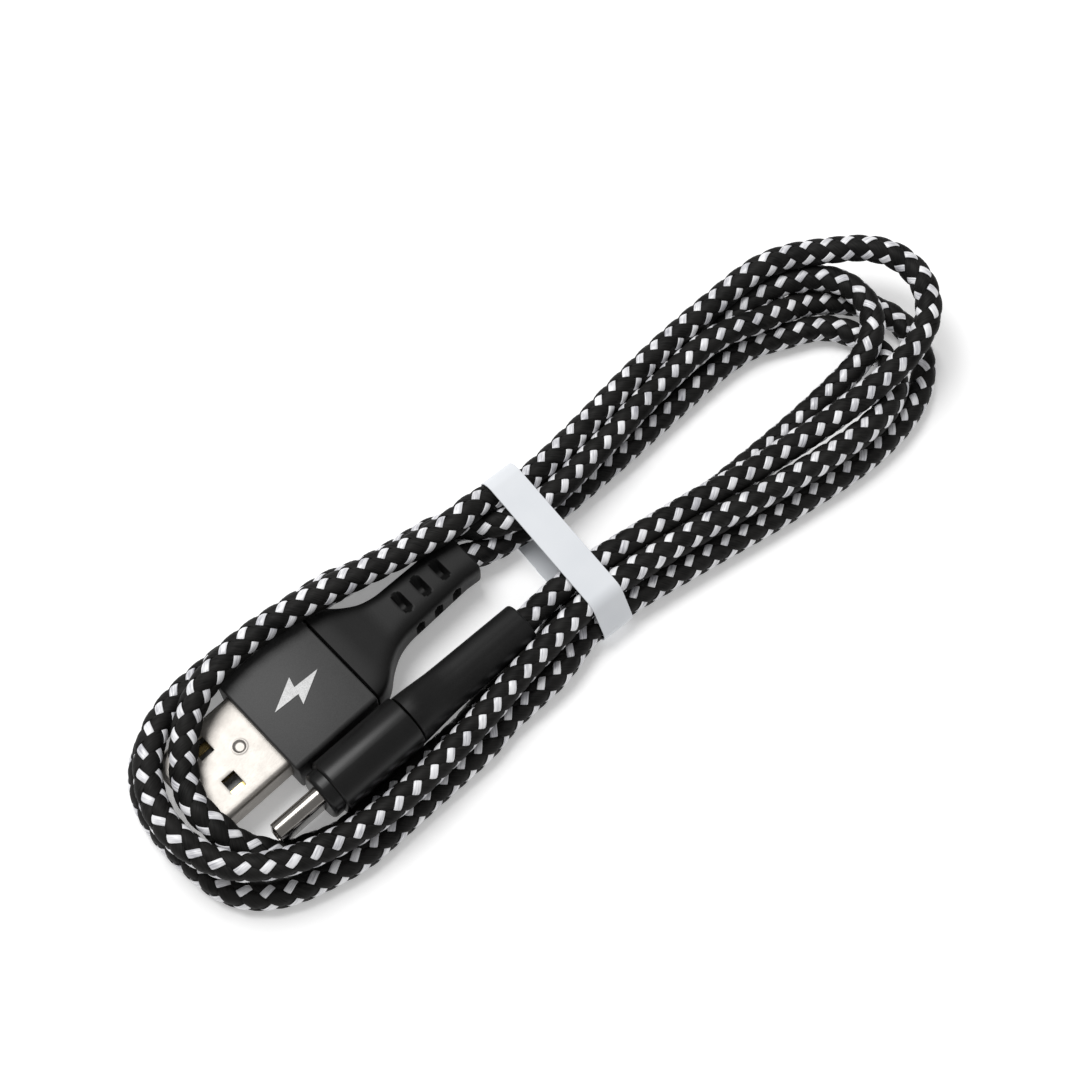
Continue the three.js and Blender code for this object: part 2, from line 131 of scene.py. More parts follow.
def curve_through(points, per_span):
    """A smooth line through the points: a centripetal Catmull-Rom curve."""
    p = np.asarray(points, float)
    p = np.vstack([2 * p[0] - p[1], p, 2 * p[-1] - p[-2]])
    out = []
    for p0, p1, p2, p3 in zip(p, p[1:], p[2:], p[3:]):
        knots = np.cumsum([0] + [np.linalg.norm(b - a) ** 0.5 for a, b in ((p0, p1), (p1, p2), (p2, p3))])
        t0, t1, t2, t3 = knots
        t = np.linspace(t1, t2, per_span, endpoint=False)[:, None]
        a1 = ((t1 - t) * p0 + (t - t0) * p1) / (t1 - t0)
        a2 = ((t2 - t) * p1 + (t - t1) * p2) / (t2 - t1)
        a3 = ((t3 - t) * p2 + (t - t2) * p3) / (t3 - t2)
        b1 = ((t2 - t) * a1 + (t - t0) * a2) / (t2 - t0)
        b2 = ((t3 - t) * a2 + (t - t1) * a3) / (t3 - t1)
        out.append(((t2 - t) * b1 + (t - t1) * b2) / (t2 - t1))
    return np.vstack(out + [p[-2:-1]])


def arc_length(line):
    return np.concatenate([[0], np.cumsum(np.linalg.norm(np.diff(line, axis=0), axis=1))])


def evenly(line, step):
    along = arc_length(line)
    at = np.linspace(0, along[-1], int(round(along[-1] / step)) + 1)
    return np.stack([np.interp(at, along, line[:, k]) for k in range(3)], axis=1)


def plug_matrix(plug):
    turn = Euler([math.radians(a) for a in plug["turn"]], "ZYX").to_matrix().to_4x4()
    return Matrix.Translation(plug["place"]) @ turn


# Blocks that the cable keeps off, in each plug's own axes: (low corner, high corner).
A_BLOCKS = [
    ((-11.6, -5.3, -2.25), (0, 5.3, 2.25)),
    ((0, -7.6, -4.05), (13, 7.6, 4.05)),
    ((13, -7.3, -3.9), (18, 7.0, 3.6)),
    ((18, -4, -3.5), (22, 4, 3.1)),
    ((22, -3.3, -2.8), (34.5, 3.3, 2.8)),
]
C_BLOCKS = [
    ((0, -1.2, -4.1), (6.65, 1.2, 4.1)),
    ((6.65, -3.1, -5.7), (26, 3.1, 5.7)),
    ((26, -2.4, -4), (39.5, 2.9, 3.1)),
]


def push_out(line, plug, blocks, clearance):
    """The move that takes each point clear of a plug's blocks."""
    matrix = np.array(plug_matrix(plug))
    turn, place = matrix[:3, :3], matrix[:3, 3]
    own = (line - place) @ turn
    move = np.zeros_like(line)
    for low, high in blocks:
        depth = np.concatenate([own - (np.array(low) - clearance), np.array(high) + clearance - own], axis=1)
        inside = (depth > 0).all(axis=1)
        side = depth.argmin(axis=1)
        for axis in range(3):
            move[inside & (side == axis), axis] -= depth[inside & (side == axis), axis]
            far = inside & (side == axis + 3)
            move[far, axis] += depth[far, axis + 3]
    return move @ turn.T


def neighbours(line, reach, skip):
    """Pairs of points closer than reach that aren't within skip points of each other along the line."""
    gap = ((line[:, None, :] - line[None, :, :]) ** 2).sum(axis=2)
    i, j = np.nonzero(np.triu(gap < reach * reach, skip))
    return i, j


# How the turns settle. A share is the part of a wanted move that is made in one step.
SETTLE_SPACING = 1.0
SETTLE_STEPS = 480
PAIRS_EVERY = 6  # steps between looks for turns that lie near each other
TOUCH = 3.56  # between the middles of two turns that touch, since the soft braid gives a little
SHARPEST_BEND = 2.5 * CABLE_D  # the radius below which a bend is eased
BEND_REACH = 3  # a bend is measured over this many points to each side
OFF_PLUG_A = CABLE_R - 0.1
OFF_PLUG_C = CABLE_R + 0.05
ON_TABLE = CABLE_R + 0.02
ON_BAND = CABLE_R + 0.75  # the bundle stands this high where the band passes under it
BAND_SUPPORT = 3.6  # to each side of the band's middle
OFF_PLUG_SHARE, STIFF_SHARE, EASE_SHARE, ROUTE_SHARE = 0.7, 0.25, 0.2, 0.01
IN_BOOT = 6  # points at each end that lie in a boot, so that the blocks don't push them
HELD = 3  # points at each end that don't move


def turns_apart(line, i, j):
    """The move that pushes the pairs i, j to a touch."""
    apart = line[i] - line[j]
    gap = np.linalg.norm(apart, axis=1) + 1e-9
    push = apart / gap[:, None] * np.maximum(TOUCH - gap, 0)[:, None] / 2
    touching = gap < TOUCH
    move, count = np.zeros_like(line), np.zeros(len(line))
    np.add.at(move, i, push)
    np.add.at(move, j, -push)
    np.add.at(count, i, touching)
    np.add.at(count, j, touching)
    return move / np.maximum(count, 1)[:, None]


def to_chord(line, reach):
    """The move from each point to the middle of the chord between the points reach places away."""
    bend = np.zeros_like(line)
    bend[reach:-reach] = (line[:-2 * reach] + line[2 * reach:]) / 2 - line[reach:-reach]
    return bend


def settle(line):
    """Lets the turns push each other apart and rest on the table, the band and the plugs."""
    rest = line.copy()
    line = line.copy()
    floor = np.where(np.abs(line[:, 0] - BAND_X) < BAND_SUPPORT, ON_BAND, ON_TABLE)
    spacing = np.linalg.norm(np.diff(line, axis=0), axis=1).mean()
    sharpest = (BEND_REACH * spacing) ** 2 / (2 * SHARPEST_BEND)
    for step in range(SETTLE_STEPS):
        if step % PAIRS_EVERY == 0:
            i, j = neighbours(line, TOUCH + 1.0, 10)
        line += turns_apart(line, i, j)
        clear = push_out(line, PLUG_A, A_BLOCKS, OFF_PLUG_A)
        clear += push_out(line, PLUG_C, C_BLOCKS, OFF_PLUG_C)
        clear[:IN_BOOT] = 0
        clear[-IN_BOOT:] = 0
        line += OFF_PLUG_SHARE * clear
        line[:, 2] = np.maximum(line[:, 2], floor)
        bend = to_chord(line, 1)
        stiff = np.zeros_like(line)
        stiff[2:-2] = bend[2:-2] - (bend[1:-3] + bend[3:-1]) / 2
        line += STIFF_SHARE * stiff
        wide = to_chord(line, BEND_REACH)
        line += EASE_SHARE * wide * (np.linalg.norm(wide, axis=1) > sharpest)[:, None]
        line += ROUTE_SHARE * (rest - line)
        line[:HELD], line[-HELD:] = rest[:HELD], rest[-HELD:]
    return line


FINE_SPACING = 0.2
CENTRE = settle(evenly(curve_through(ROUTE, 12), SETTLE_SPACING))
for _ in range(2):
    CENTRE[1:-1] = CENTRE[1:-1] / 2 + (CENTRE[:-2] + CENTRE[2:]) / 4
FINE = evenly(curve_through(CENTRE, 5), FINE_SPACING)
ALONG = arc_length(FINE)
LENGTH = ALONG[-1]


def carried_normals(line):
    """Two normals at each point, square to each other and carried along the line without twist."""
    tangent = np.gradient(line, axis=0)
    tangent /= np.linalg.norm(tangent, axis=1)[:, None]
    normal = np.zeros_like(line)
    n = np.array([0.0, 0.0, 1.0])
    for k, t in enumerate(tangent):
        n = n - t * (n @ t)
        n /= np.linalg.norm(n)
        normal[k] = n
    return normal, np.cross(tangent, normal)


NORMAL, SIDE = carried_normals(FINE)


def on_cable(along, angle, radius):
    """Points on the cable, by how far along it, the angle round it and the distance from its middle."""
    def at(table):
        return np.stack([np.interp(along, ALONG, table[:, k]) for k in range(3)], axis=-1)
    across = np.cos(angle)[..., None] * at(NORMAL) + np.sin(angle)[..., None] * at(SIDE)
    return at(FINE) + radius[..., None] * across


# ---------------------------------------------------------------- node helpers
def new_material(name):
    material = bpy.data.materials.new(name)
    material.use_nodes = True
    nodes = material.node_tree.nodes
    nodes.clear()
    out = nodes.new("ShaderNodeOutputMaterial")
    shader = nodes.new("ShaderNodeBsdfPrincipled")
    material.node_tree.links.new(shader.outputs["BSDF"], out.inputs["Surface"])
    return material, shader


def add(material, kind, inputs=None, **values):
    """A node with its properties set, and its inputs set to numbers or linked to other nodes' outputs."""
    node = material.node_tree.nodes.new(kind)
    for key, value in values.items():
        setattr(node, key, value)
    for key, value in (inputs or {}).items():
        link(material, value, node.inputs[key])
    return node


def link(material, value, socket):
    if isinstance(value, bpy.types.NodeSocket):
        material.node_tree.links.new(value, socket)
    else:
        socket.default_value = value


def ramp(material, fac, stops):
    node = add(material, "ShaderNodeValToRGB", {"Fac": fac})
    elements = node.color_ramp.elements
    for element, (place, colour) in zip(elements, stops):
        element.position = place
        element.color = (*colour, 1.0)
    return node.outputs["Color"]


def value_between(material, fac, low, high):
    node = add(material, "ShaderNodeMapRange", {"Value": fac, "To Min": low, "To Max": high})
    return node.outputs["Result"]


def average(material, a, b):
    total = add(material, "ShaderNodeMath", {0: a, 1: b}, operation="ADD")
    return add(material, "ShaderNodeMath", {0: total.outputs[0], 1: 0.5}, operation="MULTIPLY").outputs[0]


def bump(material, shader, height, distance, strength=1.0):
    node = add(material, "ShaderNodeBump", {"Height": height, "Distance": distance, "Strength": strength})
    link(material, node.outputs["Normal"], shader.inputs["Normal"])


def object_noise(material, scale, detail=3.0, stretch=(1.0, 1.0, 1.0), roughness=0.55):
    """Noise in the object's own metres; scale is in cycles a millimetre."""
    place = add(material, "ShaderNodeTexCoord").outputs["Object"]
    mapped = add(material, "ShaderNodeMapping", {"Vector": place, "Scale": Vector(stretch) / MM})
    inputs = {"Vector": mapped.outputs["Vector"], "Scale": scale, "Detail": detail, "Roughness": roughness}
    return add(material, "ShaderNodeTexNoise", inputs).outputs["Fac"]


def grey(level):
    return (level, level, level)


# ---------------------------------------------------------------- materials
def yarn_material(name, dark, light, roughness, filaments, gloss):
    """A yarn of parallel filaments. Its UV map holds millimetres: across the yarn, then along it."""
    material, shader = new_material(name)
    uv = add(material, "ShaderNodeUVMap", uv_map="yarn").outputs["UV"]
    fine = add(material, "ShaderNodeMapping", {"Vector": uv, "Scale": (filaments, 0.55, 1.0)})
    strands = add(material, "ShaderNodeTexNoise",
                  {"Vector": fine.outputs["Vector"], "Scale": 1.0, "Detail": 2.0}).outputs["Fac"]
    tint = object_noise(material, 0.35, 2.0)
    colour = ramp(material, average(material, strands, tint), [(0.34, dark), (0.56, light)])
    link(material, colour, shader.inputs["Base Color"])
    dull = value_between(material, strands, roughness + 0.1, roughness - 0.1)
    link(material, dull, shader.inputs["Roughness"])
    shader.inputs["Specular IOR Level"].default_value = gloss
    bump(material, shader, strands, 0.05 * MM, 0.8)
    return material


def plastic(name, level, roughness, grain, depth, gloss=0.5):
    """Moulded plastic or rubber with a fine spark-eroded grain and faint handling marks."""
    material, shader = new_material(name)
    fine = object_noise(material, grain, 3.0)
    broad = object_noise(material, 0.18, 4.0)
    stops = [(0.38, grey(level * 0.75)), (0.62, grey(level * 1.25))]
    colour = ramp(material, average(material, fine, broad), stops)
    link(material, colour, shader.inputs["Base Color"])
    dull = value_between(material, broad, roughness - 0.06, roughness + 0.06)
    link(material, dull, shader.inputs["Roughness"])
    shader.inputs["Specular IOR Level"].default_value = gloss
    bump(material, shader, fine, depth * MM)
    return material


def coloured_plastic(name, rgb, roughness):
    material, shader = new_material(name)
    fine = object_noise(material, 3.0, 3.0)
    dim = tuple(c * 0.8 for c in rgb)
    link(material, ramp(material, fine, [(0.3, dim), (0.7, rgb)]), shader.inputs["Base Color"])
    shader.inputs["Roughness"].default_value = roughness
    bump(material, shader, fine, 0.01 * MM)
    return material


def metal(name, rgb, roughness, stretch, depth):
    """Drawn sheet metal: fine lines along the draw and a slight cloudiness."""
    material, shader = new_material(name)
    lines = object_noise(material, 1.0, 4.0, stretch)
    cloud = object_noise(material, 0.5, 3.0)
    dim = tuple(c * 0.8 for c in rgb)
    colour = ramp(material, average(material, lines, cloud), [(0.36, dim), (0.62, rgb)])
    link(material, colour, shader.inputs["Base Color"])
    shader.inputs["Metallic"].default_value = 1.0
    dull = value_between(material, lines, roughness - 0.07, roughness + 0.09)
    link(material, dull, shader.inputs["Roughness"])
    bump(material, shader, lines, depth * MM, 0.5)
    return material


def paper_material():
    material, shader = new_material("band_paper")
    fibres = object_noise(material, 2.2, 5.0, (1.0, 0.45, 1.0))
    broad = object_noise(material, 0.12, 2.0)
    colour = ramp(material, broad, [(0.3, (0.72, 0.745, 0.78)), (0.7, (0.78, 0.80, 0.83))])
    link(material, colour, shader.inputs["Base Color"])
    link(material, value_between(material, fibres, 0.42, 0.6), shader.inputs["Roughness"])
    bump(material, shader, fibres, 0.012 * MM, 0.6)
    return material


def floor_material():
    material, shader = new_material("studio_floor")
    broad = object_noise(material, 0.004, 2.0)
    colour = ramp(material, broad, [(0.3, grey(0.9)), (0.7, grey(0.92))])
    link(material, colour, shader.inputs["Base Color"])
    shader.inputs["Roughness"].default_value = 0.9
    shader.inputs["Specular IOR Level"].default_value = 0.1
    shader.inputs["Emission Color"].default_value = (1.0, 1.0, 1.0, 1.0)
    shader.inputs["Emission Strength"].default_value = 0.25
    return material


BLACK_YARN = yarn_material("black_yarn", dark=(0.002, 0.002, 0.002), light=(0.013, 0.0125, 0.012),
                           roughness=0.6, filaments=9.0, gloss=0.14)
WHITE_YARN = yarn_material("white_yarn", dark=(0.36, 0.36, 0.40), light=(0.90, 0.90, 0.92),
                           roughness=0.36, filaments=8.0, gloss=0.7)
# Metals: colour, roughness, how closely the draw lines lie along each axis, and their depth.
STEEL = metal("plug_steel", (0.415, 0.393, 0.366), 0.46, (3.0, 5.0, 5.0), 0.018)
# The USB-C shell gets its own darker copy of the plug steel: painted shade for the dark things its broad
# sides reflect.
STEEL_WITH_PAINTED_SHADE = metal("plug_c_steel_painted_shade", (0.30, 0.283, 0.265), 0.20, (0.4, 9.0, 9.0), 0.004)
GOLD = metal("gold_contact", (0.86, 0.66, 0.27), 0.24, (0.5, 8.0, 8.0), 0.002)
# Plastics: grey level, roughness, grain in cycles a millimetre, the grain's depth, and gloss.
CORE_JACKET = plastic("core_jacket", 0.004, 0.6, 4.0, 0.006, 0.1)
SLEEVE_METAL = plastic("sleeve_metal", 0.030, 0.46, 7.0, 0.008, 0.3)
BOOT_RUBBER = plastic("boot_rubber", 0.008, 0.50, 5.0, 0.010, 0.22)
BLACK_PLASTIC = plastic("black_plastic", 0.006, 0.34, 6.0, 0.004, 0.28)
WHITE_NYLON = plastic("white_nylon", 0.78, 0.35, 3.0, 0.004)
# The tongue's nylon is painted far darker than the insert's: painted shade for the recess inside the shell
# where it sits.
TONGUE_PAINTED_SHADE = plastic("tongue_nylon_painted_shade", 0.14, 0.35, 3.0, 0.004)
PRINT = plastic("mark_print", 0.66, 0.5, 8.0, 0.006)
BOARD = coloured_plastic("circuit_board", (0.02, 0.13, 0.045), 0.4)
WIRES = {
    "red": coloured_plastic("wire_red", (0.5, 0.02, 0.015), 0.4),
    "white": coloured_plastic("wire_white", (0.78, 0.78, 0.78), 0.4),
    "green": coloured_plastic("wire_green", (0.03, 0.3, 0.06), 0.4),
    "black": coloured_plastic("wire_black", (0.012, 0.012, 0.013), 0.4),
}
PAPER = paper_material()


# ---------------------------------------------------------------- mesh helpers
def make_object(name, vertices, faces, material, matrix=None, sharp=None, uv=None):
    """A mesh object from points in millimetres; sharp is the angle past which an edge shows."""
    points = np.asarray(vertices, float).reshape(-1, 3)
    if matrix is not None:
        m = np.array(matrix)
        points = points @ m[:3, :3].T + m[:3, 3]
    mesh = bpy.data.meshes.new(name)
    mesh.from_pydata((points * MM).tolist(), [], [tuple(f) for f in faces])
    mesh.polygons.foreach_set("use_smooth", [True] * len(mesh.polygons))
    if sharp is not None:
        mesh.set_sharp_from_angle(angle=math.radians(sharp))
    if uv is not None:
        layer = mesh.uv_layers.new(name="yarn")
        corners = np.zeros(len(mesh.loops), np.int32)
        mesh.loops.foreach_get("vertex_index", corners)
        layer.data.foreach_set("uv", uv[corners].astype(np.float32).ravel())
    mesh.materials.append(material)
    mesh.validate()
    mesh.update()
    obj = bpy.data.objects.new(name, mesh)
    bpy.context.scene.collection.objects.link(obj)
    return obj


def loft(rings, cap_start=True, cap_end=True):
    """Vertices and faces of a skin over rings that have the same number of points. A ring runs
    anticlockwise as seen from the end that the rings run towards."""
    rings = [np.asarray(r, float) for r in rings]
    n = len(rings[0])
    faces = []
    for k in range(len(rings) - 1):
        for i in range(n):
            j = (i + 1) % n
            faces.append((k * n + i, k * n + j, (k + 1) * n + j, (k + 1) * n + i))
    if cap_start:
        faces.append(tuple(range(n - 1, -1, -1)))
    if cap_end:
        last = (len(rings) - 1) * n
        faces.append(tuple(range(last, last + n)))
    return np.vstack(rings), faces


def rounded_ring(x, width, height, corner, per_corner=6):
    """A rounded rectangle across X: its points in Y and Z, anticlockwise as seen from +X."""
    corner = min(corner, width / 2 - 1e-4, height / 2 - 1e-4)
    ring = []
    for k, (sy, sz) in enumerate(((1, 1), (-1, 1), (-1, -1), (1, -1))):
        for a in np.linspace(0, math.pi / 2, per_corner + 1) + k * math.pi / 2:
            y = sy * (width / 2 - corner) + corner * math.cos(a)
            z = sz * (height / 2 - corner) + corner * math.sin(a)
            ring.append((x, y, z))
    return ring


def stadium(x, width, height):
    """A ring whose narrow sides are fully round."""
    return rounded_ring(x, width, height, max(width, height), 12)


def edge_rings(ring, x, width, height, soft, steps, way=1):
    """Rings that round off the edge at x. way is 1 where the piece begins and -1 where it ends."""
    rings = []
    for a in np.linspace(0, math.pi / 2, steps)[::way]:
        inset = soft * (1 - math.sin(a))
        rings.append(ring(x + way * soft * (1 - math.cos(a)), width - 2 * inset, height - 2 * inset))
    return rings


def smoothstep(x, low, high):
    t = np.clip((x - low) / (high - low), 0, 1)
    return t * t * (3 - 2 * t)


def finish_piece(obj, slot, *replaced):
    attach(obj, "root")
    if replaced:
        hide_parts(*replaced)
    return obj


# ---------------------------------------------------------------- the cable
def make_core():
    """The cable's jacket, which shows only in the gaps between yarns."""
    curve = bpy.data.curves.new("cable_core", "CURVE")
    curve.dimensions = "3D"
    spline = curve.splines.new("POLY")
    line = evenly(FINE, CORE_SPACING) * MM
    spline.points.add(len(line) - 1)
    spline.points.foreach_set("co", np.hstack([line, np.ones((len(line), 1))]).ravel())
    curve.bevel_depth = CORE_R * MM
    curve.bevel_resolution = 3
    curve.use_fill_caps = True
    curve.materials.append(CORE_JACKET)
    core = bpy.data.objects.new("cable_core", curve)
    bpy.context.scene.collection.objects.link(core)
    return core


# A yarn's cross-section: how far across it, from -1 to 1, and how high, from -1 to 1.
YARN_SECTION = [(-1, 0), (-0.9, 0.5), (-0.6, 0.86), (-0.2, 1), (0.2, 1), (0.6, 0.86), (0.9, 0.5), (1, 0),
                (0.7, -0.75), (0, -1), (-0.7, -0.75)]
CROSSINGS = 2 * YARNS  # places where a yarn passes over or under in one lay
STEPS_PER_CROSSING = 6
YARN_OFFSET = 7.3  # between the yarns' places in the filament pattern, so that no two look alike


def plateau(c):
    """A wave that stays longer at its crests than a cosine does."""
    return c * (1.5 - 0.5 * c * c)


def yarn_mesh(number, way, half_width, middle, swing, over, under):
    """One yarn wound round the cable. way is -1 for a white yarn and 1 for a black one; half_width is
    in spacings between neighbours; over and under are half its thickness on top and beneath."""
    count = int(LENGTH / LAY * CROSSINGS * STEPS_PER_CROSSING)
    station = np.linspace(0, LENGTH, count)[:, None]
    across = np.array([u for u, _ in YARN_SECTION])[None, :] * half_width
    high = np.array([v for _, v in YARN_SECTION])[None, :]
    turns = CROSSINGS * station / LAY
    along = np.clip(station - way * across * LAY / CROSSINGS, 0, LENGTH)
    twist = np.radians(np.interp(station, [s for s, _ in TWIST], [a for _, a in TWIST]))
    angle = math.pi / YARNS * (2 * number + way * turns + across) + twist
    if way < 0:
        phase = plateau(np.cos(math.pi * (2 * number - turns)))
    else:
        phase = -plateau(np.cos(math.pi * (2 * number + turns)))
    thick = under + (over - under) * (phase + 1) / 2
    radius = middle + swing * phase + high * thick
    points = on_cable(along, angle, radius)
    width_mm = across * math.pi / YARNS * CABLE_R
    uv = np.stack([width_mm + YARN_OFFSET * number + 0 * station, station + 0 * across], axis=-1)
    return points, uv


def sweep_faces(rows, columns):
    k = np.arange(rows - 1)[:, None] * columns
    i = np.arange(columns)[None, :]
    j = (i + 1) % columns
    quads = np.stack([k + i, k + j, k + columns + j, k + columns + i], axis=-1).reshape(-1, 4)
    ends = [tuple(range(columns))[::-1], tuple((rows - 1) * columns + c for c in range(columns))]
    return [tuple(q) for q in quads.tolist()] + ends


def make_yarn(name, number, way, material, shape):
    points, uv = yarn_mesh(number, way, **shape)
    faces = sweep_faces(*points.shape[:2])
    yarn = make_object(name, points, faces, material, uv=uv.reshape(-1, 2))
    return finish_piece(yarn, "cable_braid")


WHITE_SHAPE = {"half_width": 0.255, "middle": 1.55, "swing": 0.15, "over": 0.09, "under": 0.09}
BLACK_SHAPE = {"half_width": 0.56, "middle": 1.535, "swing": 0.10, "over": 0.20, "under": 0.15}
# How far the cable is twisted, in degrees, at distances along it.
TWIST = [(0, 0), (110, 0), (150, 45), (215, 45), (300, 0), (720, 0), (750, 36), (950, 36)]


def make_cable():
    core = make_core()
    finish_piece(core, "cable_braid", "cable_hank", "cable_lead_usb_a", "cable_lead_usb_c")
    for k in range(YARNS):
        make_yarn(f"cable_white_yarn_{k + 1}", k, -1, WHITE_YARN, WHITE_SHAPE)
        make_yarn(f"cable_black_yarn_{k + 1}", k, 1, BLACK_YARN, BLACK_SHAPE)
    return core


# ---------------------------------------------------------------- USB-A plug
def spread(*edges, step):
    """Places from the first edge to the last with every edge among them, at most step apart."""
    places = [edges[0]]
    for a, b in zip(edges, edges[1:]):
        places += list(np.linspace(a, b, max(1, math.ceil((b - a) / step - 1e-6)) + 1))[1:]
    return places


# The shell's points lie closer together within DIMPLE_ZONE of the dimple's middle.
DIMPLE_ZONE = 1.3
FINE_STEP, PLAIN_STEP = 0.11, 0.45


def usb_a_outline(inner, outer):
    """The shell's outline as (y, z, face), from one side of the roll's seam round to the other. It has
    points at the windows' inner and outer edges."""
    h, r = A_SHELL["height"] / 2, A_SHELL["corner"]
    wide = A_SHELL["width"] / 2
    flat = wide - r
    half = [0.0] + spread(0.03, DIMPLE_ZONE, step=FINE_STEP)[1:]
    half += spread(DIMPLE_ZONE, inner, outer, flat, step=PLAIN_STEP)[1:]
    top = [-y for y in half[::-1]][:-1] + half
    bottom = half[1:]
    side = spread(-(h - r), h - r, step=0.5)

    def corner(cy, cz, start):
        angles = np.linspace(start, start + math.pi / 2, 6)[1:-1]
        return [(cy + r * math.cos(a), cz + r * math.sin(a), "corner") for a in angles]
    return [*[(y, -h, "bottom") for y in bottom], *corner(flat, -h + r, -math.pi / 2),
            *[(wide, z, "side") for z in side], *corner(flat, h - r, 0),
            *[(y, h, "top") for y in top[::-1]], *corner(-flat, h - r, math.pi / 2),
            *[(-wide, z, "side") for z in side[::-1]], *corner(-flat, -h + r, math.pi),
            *[(-y, -h, "bottom") for y in bottom[::-1]]]


def dimple_height(dist):
    """How far the shell's top is pressed in, with a low rim, at a distance from the dimple's middle."""
    d = A_DIMPLE
    sunk = -d["depth"] * (1 - smoothstep(dist, d["radius"] - d["slope"], d["radius"]))
    return sunk + d["rim"] * math.exp(-((dist - d["radius"] - 0.12) / 0.1) ** 2)


def usb_a_shell():
    """A sheet rolled into a rectangular tube: two square windows on each broad side, a round
    locating dimple on top and the roll's seam underneath."""
    s, w, d = A_SHELL, A_WINDOW, A_DIMPLE
    inner, outer = (w["spacing"] - w["width"]) / 2, (w["spacing"] + w["width"]) / 2
    front, back = w["centre"] - w["length"] / 2, w["centre"] + w["length"] / 2
    ring = usb_a_outline(inner, outer)
    lead_end = -s["reach"] + s["lead"]
    lengthwise = spread(-s["reach"], lead_end, step=0.12)
    fine_from, fine_to = d["centre"] - DIMPLE_ZONE - 0.1, d["centre"] + DIMPLE_ZONE + 0.1
    lengthwise += spread(lead_end, front, back, fine_from, step=PLAIN_STEP)[1:]
    lengthwise += spread(fine_from, fine_to, step=FINE_STEP)[1:]
    lengthwise += spread(fine_to, 0.0, s["tail"], step=0.6)[1:]
    points = []
    for x in lengthwise:
        lead = smoothstep(lead_end - x, 0, s["lead"])
        narrow, low = 1 - 0.03 * lead, 1 - 0.072 * lead  # the mouth is drawn in a little
        for y, z, face in ring:
            pressed = dimple_height(math.hypot(x - d["centre"], y)) if face == "top" else 0.0
            points.append((x, y * narrow, z * low + pressed))
    n = len(ring)
    faces = []
    for k in range(len(lengthwise) - 1):
        x = (lengthwise[k] + lengthwise[k + 1]) / 2
        for i in range(n - 1):
            y = (ring[i][0] + ring[i + 1][0]) / 2
            broad = ring[i][2] in ("top", "bottom") and ring[i + 1][2] in ("top", "bottom")
            if broad and front < x < back and inner < abs(y) < outer:
                continue
            faces.append((k * n + i, k * n + i + 1, (k + 1) * n + i + 1, (k + 1) * n + i))
    shell = make_object("usb_a_steel_shell", points, faces, STEEL, plug_matrix(PLUG_A), sharp=35)
    thick = shell.modifiers.new("wall", "SOLIDIFY")
    thick.thickness = s["wall"] * MM
    thick.offset = -1.0
    thick.use_even_offset = True
    edge = shell.modifiers.new("edges", "BEVEL")
    edge.width = 0.06 * MM
    edge.segments = 2
    edge.limit_method = "ANGLE"
    edge.angle_limit = math.radians(50)
    edge.harden_normals = False
    return finish_piece(shell, "plug_steel", "usb_a_shell")


def usb_a_sleeve():
    """The grey housing: a drawn cap with softly broken edges, open at the back and round the shell."""
    s = A_SLEEVE
    w, h, length, corner = s["width"], s["height"], s["length"], s["corner"]
    mouth_w, mouth_h = A_SHELL["width"] + 0.3, A_SHELL["height"] + 0.3

    def ring(x, width, height):
        return rounded_ring(x, width, height, corner)
    rings = [rounded_ring(1.0, mouth_w, mouth_h, 0.8), rounded_ring(0.08, mouth_w, mouth_h, 0.8),
             rounded_ring(0.0, mouth_w + 0.14, mouth_h + 0.14, 0.85)]
    rings += edge_rings(ring, 0.0, w, h, 0.28, 5)
    rings += edge_rings(ring, length, w, h, 0.18, 5, way=-1)
    rings.append(rounded_ring(length, w - 2.2, h - 2.2, corner * 0.7))
    rings.append(rounded_ring(length - 1.0, w - 2.4, h - 2.4, corner * 0.7))
    points, faces = loft(rings, cap_start=False)
    sleeve = make_object("usb_a_housing", points, faces, SLEEVE_METAL, plug_matrix(PLUG_A), sharp=40)
    return finish_piece(sleeve, "sleeve_metal", "usb_a_sleeve")


def table_at(table, x):
    xs, ys = zip(*table)
    return np.interp(x, xs, ys)


def smooth_table(table, x):
    """The table's value at x, rounded off where its straight stretches meet."""
    return sum(table_at(table, x + d) for d in (-0.7, -0.35, 0, 0.35, 0.7)) / 5


def super_ring(x, width, height, power, count, drop=0.0):
    """A superellipse across X: 2 is an ellipse, and higher powers are squarer."""
    ring = []
    for a in np.linspace(0, 2 * math.pi, count, endpoint=False):
        c, s = math.cos(a), math.sin(a)
        y = width / 2 * math.copysign(abs(c) ** (2 / power), c)
        z = height / 2 * math.copysign(abs(s) ** (2 / power), s)
        ring.append((x, y, z - drop))
    return ring


def slot_depth(x, y, z, start):
    """How deep the strain relief's round-ended slots go in at a place on the USB-A boot."""
    s = A_SLOTS
    half = s["length"] / 2
    deepest = 0.0
    for k in range(s["count"]):
        near = abs(x - (start + s["first"] + k * s["pitch"]))
        for u in (y, z):
            past = max(abs(u) - s["across"] / 2 + half, 0)
            deepest = max(deepest, 1 - smoothstep(math.hypot(near, past) / half, 0.8, 1.2))
    return s["depth"] * deepest


def boot_end(end, width, height, power, count, drop=0.0):
    """Rings that round off a boot's end and close in on the cable."""
    rings = []
    for a in np.linspace(0, math.pi / 2, 5):
        inset = BOOT_EDGE * (1 - math.cos(a))
        x = end - BOOT_EDGE + BOOT_EDGE * math.sin(a)
        rings.append(super_ring(x, width - 2 * inset, height - 2 * inset, power, count, drop))
    return rings + [super_ring(end, BOOT_HOLE, BOOT_HOLE, 2.0, count, drop)]


